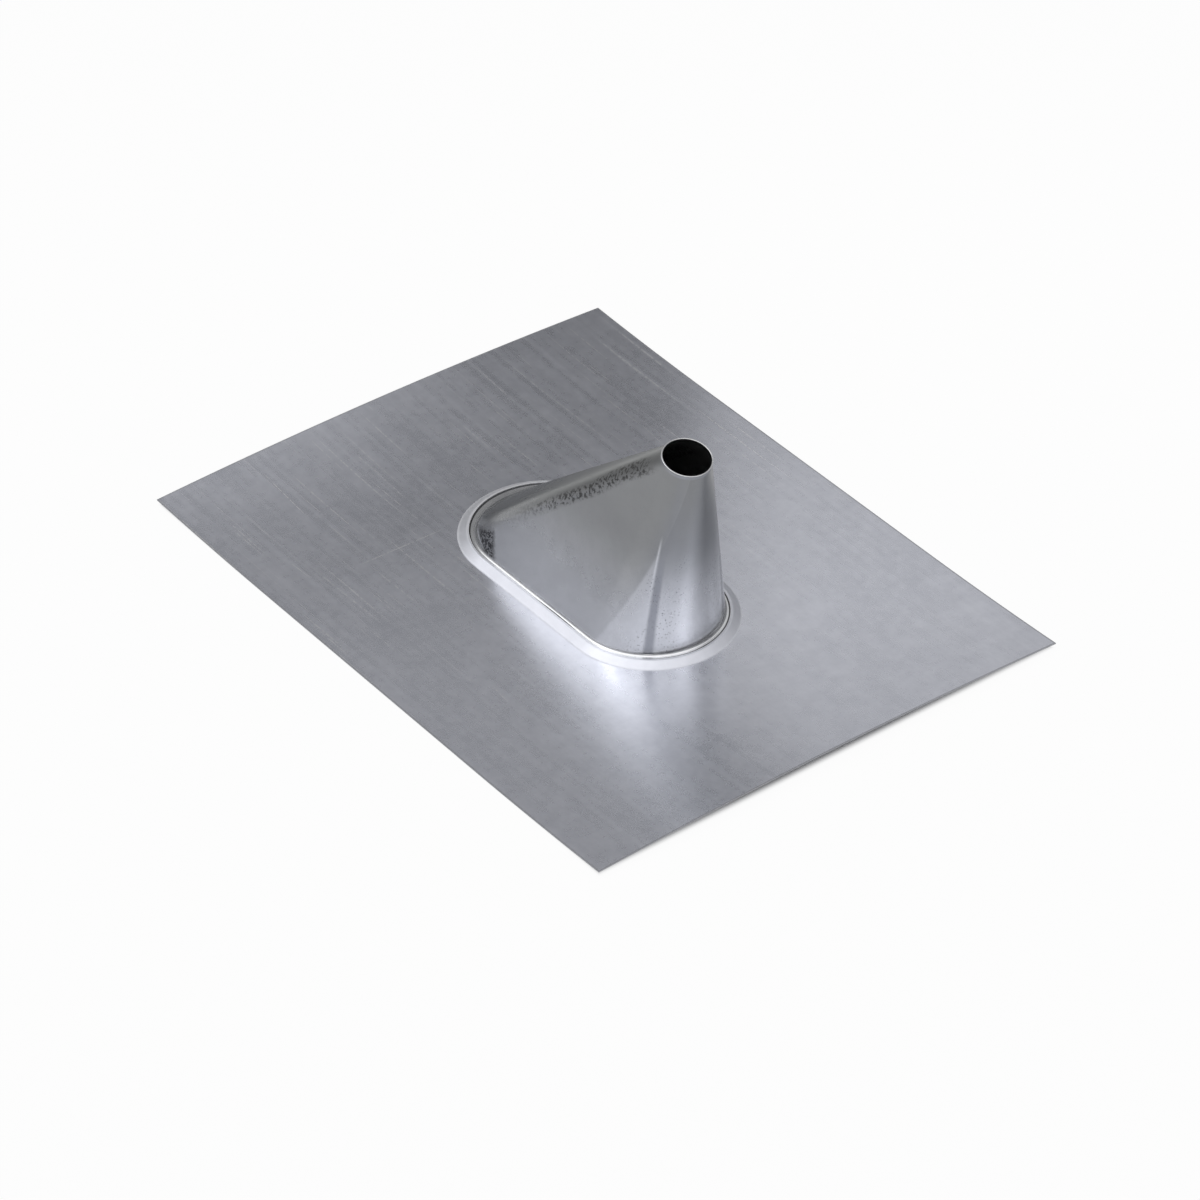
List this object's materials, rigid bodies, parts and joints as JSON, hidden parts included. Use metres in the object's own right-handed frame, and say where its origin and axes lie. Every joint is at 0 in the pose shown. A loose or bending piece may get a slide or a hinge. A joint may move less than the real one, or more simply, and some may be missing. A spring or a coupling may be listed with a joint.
{
  "type": "pipe flashing boot",
  "caption": "Square-cut galvanised roofing sheet with a raised oblong curb and a pressed hood that slopes up to a round mouth for a pipe or mast.",
  "frame": {"origin": "middle of the flashing sheet's flat underside", "axes": "+Z stands out from the roof, +X runs along the sheet's long side from the hood's low tail to its steep head under the mouth, +Y runs along the short side"},
  "size_m": [0.52, 0.4, 0.1628],
  "materials": {
    "galvanised_sheet": "hot-dip galvanised, dull blue-grey with faint spangle and rolling lines",
    "galvanised_hood": "hot-dip galvanised, satin grey, drawn, with fine orange-peel specks and forming marks"
  },
  "bodies": {
    "root": {"flashing_sheet": "galvanised_sheet", "hood": "galvanised_hood"}
  },
  "joints": []
}
